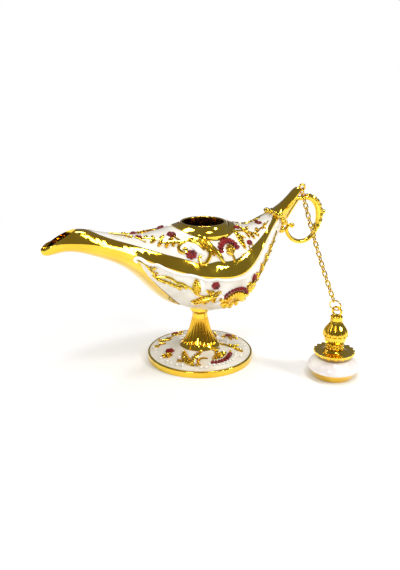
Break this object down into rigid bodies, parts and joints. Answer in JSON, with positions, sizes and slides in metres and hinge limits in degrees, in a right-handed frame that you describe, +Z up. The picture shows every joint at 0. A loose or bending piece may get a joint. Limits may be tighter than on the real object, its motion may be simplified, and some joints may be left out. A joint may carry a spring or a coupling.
{
  "type": "oil lamp",
  "caption": "Long-spouted oil lamp on a round foot, with an open neck, a scroll handle and a stopper lid held by a fine chain.",
  "frame": {"origin": "middle of the foot's underside, on the surface that the lamp stands on", "axes": "+Z up, +X towards the tail and the handle, the spout points along -X"},
  "size_m": [0.1303, 0.0748, 0.0744],
  "materials": {
    "gold_cast": "bright gilt casting",
    "gold_polished": "mirror gilt",
    "ivory_enamel": "pearl enamel",
    "pad_felt": "felt",
    "screw_steel": "plain",
    "chain_gold": "bright gilt wire",
    "pin_brass": "plain"
  },
  "bodies": {
    "lamp": {"foot_base": "gold_cast", "foot_enamel": "ivory_enamel", "foot_pad": "pad_felt", "foot_screw": "screw_steel", "foot_washer": "screw_steel", "stem": "gold_cast", "lower_shell": "gold_cast", "upper_shell": "gold_cast", "upper_enamel": "ivory_enamel", "lower_enamel_near": "ivory_enamel", "lower_enamel_far": "ivory_enamel", "neck_collar": "gold_polished", "tail_ferrule": "gold_cast", "tail_finial": "gold_cast", "handle_scroll": "gold_cast"},
    "tail_ring": {"tail_ring": "chain_gold"},
    "link_01": {"link_01": "chain_gold"},
    "links_02_03": {"link_02": "chain_gold", "link_03": "chain_gold"},
    "links_04_05": {"link_04": "chain_gold", "link_05": "chain_gold"},
    "links_06_07": {"link_06": "chain_gold", "link_07": "chain_gold"},
    "links_08_09": {"link_08": "chain_gold", "link_09": "chain_gold"},
    "links_10_11": {"link_10": "chain_gold", "link_11": "chain_gold"},
    "links_12_13": {"link_12": "chain_gold", "link_13": "chain_gold"},
    "links_14_15": {"link_14": "chain_gold", "link_15": "chain_gold"},
    "links_16_17": {"link_16": "chain_gold", "link_17": "chain_gold"},
    "links_18_19": {"link_18": "chain_gold", "link_19": "chain_gold"},
    "links_20_21": {"link_20": "chain_gold", "link_21": "chain_gold"},
    "link_22": {"link_22": "chain_gold"},
    "lid_ring": {"lid_ring": "chain_gold"},
    "lid": {"lid_plug": "gold_polished", "lid_enamel": "ivory_enamel", "lid_cap": "gold_polished", "lid_waist": "gold_cast", "lid_bulb": "gold_polished", "lid_eye": "gold_cast", "lid_pin": "pin_brass"}
  },
  "joints": [
    {"name": "chain_lift", "type": "hinge", "parent": "lamp", "child": "tail_ring", "pos_m": [0.05, 0, 0.0713], "axis": [0.9885, -0.1513, 0], "range_deg": [0, 6]},
    {"name": "chain_sway", "type": "hinge", "parent": "tail_ring", "child": "link_01", "pos_m": [0.0498, -0.00129, 0.06959], "axis": [-0.1205, -0.7873, 0.6047], "range_deg": [-10, 10]},
    {"name": "links_02_03_swing", "type": "hinge", "parent": "link_01", "child": "links_02_03", "pos_m": [0.04958, -0.00274, 0.06769], "axis": [0.9885, -0.1513, 0], "range_deg": [-6.2, 0.2]},
    {"name": "links_04_05_swing", "type": "hinge", "parent": "links_02_03", "child": "links_04_05", "pos_m": [0.04913, -0.0057, 0.06394], "axis": [0.9885, -0.1513, 0], "range_deg": [-6.2, 0.2]},
    {"name": "links_06_07_swing", "type": "hinge", "parent": "links_04_05", "child": "links_06_07", "pos_m": [0.04866, -0.00873, 0.06025], "axis": [0.9885, -0.1513, 0], "range_deg": [-6.2, 0.2]},
    {"name": "links_08_09_swing", "type": "hinge", "parent": "links_06_07", "child": "links_08_09", "pos_m": [0.04819, -0.01184, 0.05662], "axis": [0.9885, -0.1513, 0], "range_deg": [-6.2, 0.2]},
    {"name": "links_10_11_swing", "type": "hinge", "parent": "links_08_09", "child": "links_10_11", "pos_m": [0.0477, -0.01501, 0.05305], "axis": [0.9885, -0.1513, 0], "range_deg": [-6.2, 0.2]},
    {"name": "links_12_13_swing", "type": "hinge", "parent": "links_10_11", "child": "links_12_13", "pos_m": [0.04721, -0.01826, 0.04955], "axis": [0.9885, -0.1513, 0], "range_deg": [-6.2, 0.2]},
    {"name": "links_14_15_swing", "type": "hinge", "parent": "links_12_13", "child": "links_14_15", "pos_m": [0.0467, -0.02157, 0.04611], "axis": [0.9885, -0.1513, 0], "range_deg": [-6.2, 0.2]},
    {"name": "links_16_17_swing", "type": "hinge", "parent": "links_14_15", "child": "links_16_17", "pos_m": [0.04618, -0.02495, 0.04274], "axis": [0.9885, -0.1513, 0], "range_deg": [-6.2, 0.2]},
    {"name": "links_18_19_swing", "type": "hinge", "parent": "links_16_17", "child": "links_18_19", "pos_m": [0.04566, -0.02839, 0.03944], "axis": [0.9885, -0.1513, 0], "range_deg": [-6.2, 0.2]},
    {"name": "links_20_21_swing", "type": "hinge", "parent": "links_18_19", "child": "links_20_21", "pos_m": [0.04512, -0.0319, 0.03621], "axis": [0.9885, -0.1513, 0], "range_deg": [-6.2, 0.2]},
    {"name": "link_22_swing", "type": "hinge", "parent": "links_20_21", "child": "link_22", "pos_m": [0.04457, -0.03547, 0.03305], "axis": [0.9885, -0.1513, 0], "range_deg": [-6.2, 0.2]},
    {"name": "lid_ring_swing", "type": "hinge", "parent": "link_22", "child": "lid_ring", "pos_m": [0.0443, -0.03728, 0.03149], "axis": [-0.098, -0.6402, 0.762], "range_deg": [-10.5, 10.5]},
    {"name": "lid_hang", "type": "hinge", "parent": "lid_ring", "child": "lid", "pos_m": [0.04383, -0.04035, 0.0289], "axis": [0.9885, -0.1513, 0], "range_deg": [0, 61]}
  ],
  "couplings": [
    {"joint": "links_02_03_swing", "follows": "chain_lift", "ratio": -1},
    {"joint": "links_04_05_swing", "follows": "chain_lift", "ratio": -1},
    {"joint": "links_06_07_swing", "follows": "chain_lift", "ratio": -1},
    {"joint": "links_08_09_swing", "follows": "chain_lift", "ratio": -1},
    {"joint": "links_10_11_swing", "follows": "chain_lift", "ratio": -1},
    {"joint": "links_12_13_swing", "follows": "chain_lift", "ratio": -1},
    {"joint": "links_14_15_swing", "follows": "chain_lift", "ratio": -1},
    {"joint": "links_16_17_swing", "follows": "chain_lift", "ratio": -1},
    {"joint": "links_18_19_swing", "follows": "chain_lift", "ratio": -1},
    {"joint": "links_20_21_swing", "follows": "chain_lift", "ratio": -1},
    {"joint": "link_22_swing", "follows": "chain_lift", "ratio": -1},
    {"joint": "lid_ring_swing", "follows": "chain_sway", "ratio": -1},
    {"joint": "lid_hang", "follows": "chain_lift", "ratio": 10}
  ]
}
